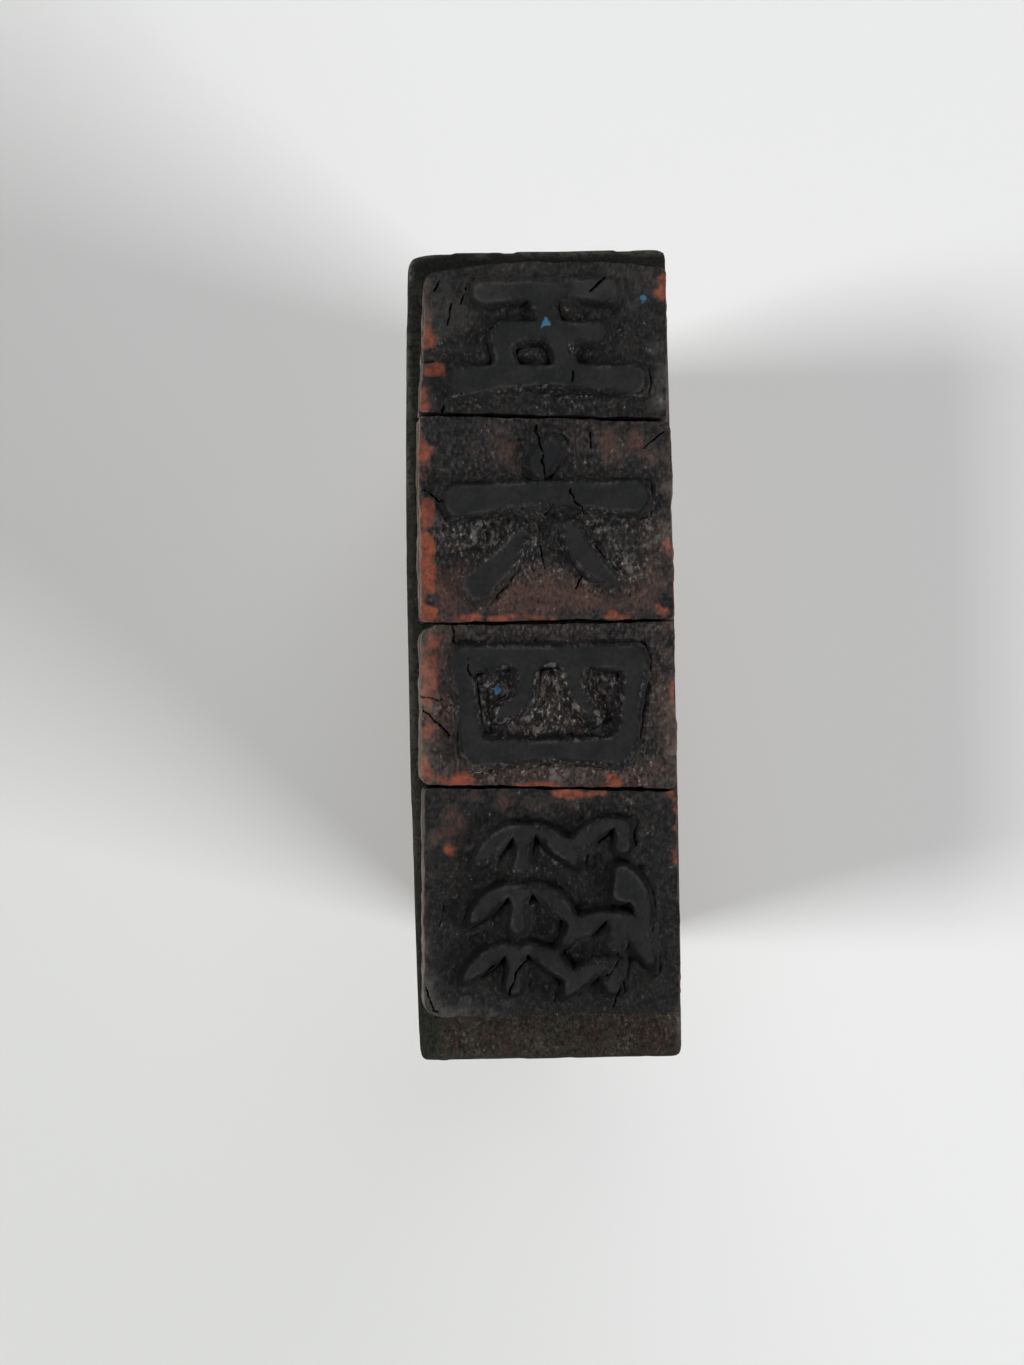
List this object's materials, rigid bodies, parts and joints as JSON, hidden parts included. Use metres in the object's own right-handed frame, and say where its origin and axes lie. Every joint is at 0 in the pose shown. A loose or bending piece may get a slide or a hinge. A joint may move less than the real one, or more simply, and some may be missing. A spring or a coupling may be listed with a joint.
{
  "type": "seal stamp",
  "caption": "Hand stamp with a waisted wooden handle moulding and a row of separately cut rubber relief dies on its face, standing dies upward.",
  "frame": {"origin": "middle of the flat end of the handle, on which the stamp stands", "axes": "+Z from the flat end of the handle up to the printing face, +Y along the row of dies towards the narrow bare margin, +X across the row"},
  "size_m": [0.0178, 0.054, 0.035],
  "materials": {
    "stained_wood": "dark ink-soaked hardwood, worn matt",
    "inked_rubber": "vermilion rubber under a matt crust of dried black ink",
    "dried_cement": "aged amber rubber cement"
  },
  "bodies": {
    "root": {"handle": "stained_wood", "cement_under_five": "dried_cement", "die_five": "inked_rubber", "cement_under_six": "dried_cement", "die_six": "inked_rubber", "cement_under_four": "dried_cement", "die_four": "inked_rubber", "cement_under_bamboo": "dried_cement", "die_bamboo": "inked_rubber"}
  },
  "joints": []
}
